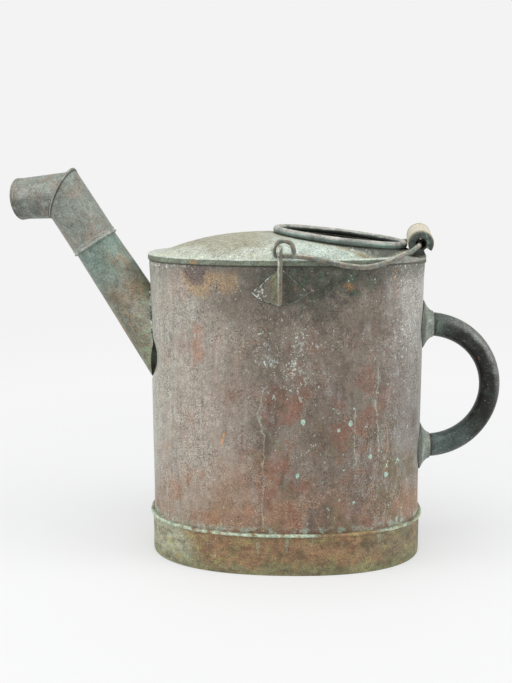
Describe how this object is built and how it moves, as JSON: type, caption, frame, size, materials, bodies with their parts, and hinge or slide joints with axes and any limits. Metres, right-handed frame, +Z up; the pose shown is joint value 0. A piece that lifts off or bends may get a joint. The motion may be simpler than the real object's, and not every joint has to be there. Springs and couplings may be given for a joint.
{
  "type": "watering can",
  "caption": "Old oval copper watering can with a domed hood and filler ring, a slip-on elbow spout, a rear handle and a swinging bail with a wooden roller.",
  "frame": {"origin": "centre of the oval foot, on the surface that the can stands on", "axes": "+X from the spout to the rear handle, +Z up, -Y towards the front"},
  "size_m": [0.5008, 0.1886, 0.3986],
  "materials": {
    "body_patina": "brown-red copper patina, mottled with grey-green and mint verdigris flecks",
    "foot_patina": "olive-brown copper patina with a mint line on the bead",
    "hood_patina": "khaki copper patina going to pale mint verdigris at the rim",
    "spout_patina": "grey-green copper patina with brown and verdigris streaks",
    "dark_patina": "charcoal copper patina with teal edges and rust-orange spots",
    "wire_patina": "brown-grey copper rod, worn on top",
    "weathered_wood": "bare weathered cream wood with dark green-stained ends"
  },
  "bodies": {
    "can": {"body_wall": "body_patina", "bottom_plate": "body_patina", "foot_band": "foot_patina", "hood": "hood_patina", "filler_ring": "dark_patina", "spout_tube": "spout_patina", "handle_tube": "dark_patina", "handle_foot_upper": "dark_patina", "handle_foot_lower": "dark_patina", "lug_front": "wire_patina", "lug_rear": "wire_patina", "lug_patch_front": "body_patina", "lug_patch_rear": "body_patina"},
    "elbow": {"elbow_sleeve": "spout_patina", "elbow_nozzle": "spout_patina"},
    "bail": {"bail_wire": "wire_patina"},
    "grip": {"bail_grip": "weathered_wood"}
  },
  "joints": [
    {"name": "bail_swing", "type": "hinge", "parent": "can", "child": "bail", "pos_m": [-0.0053, 0, 0.3255], "axis": [0, -1, 0], "range_deg": [0, 179]},
    {"name": "grip_roll", "type": "hinge", "parent": "bail", "child": "grip", "pos_m": [0.13442, 0, 0.32656], "axis": [0.0958, 0.9948, 0.0349], "continuous": true},
    {"name": "elbow_swivel", "type": "hinge", "parent": "can", "child": "elbow", "pos_m": [-0.1395, 0, 0.2335], "axis": [-0.5314, 0, 0.8471], "continuous": true}
  ]
}
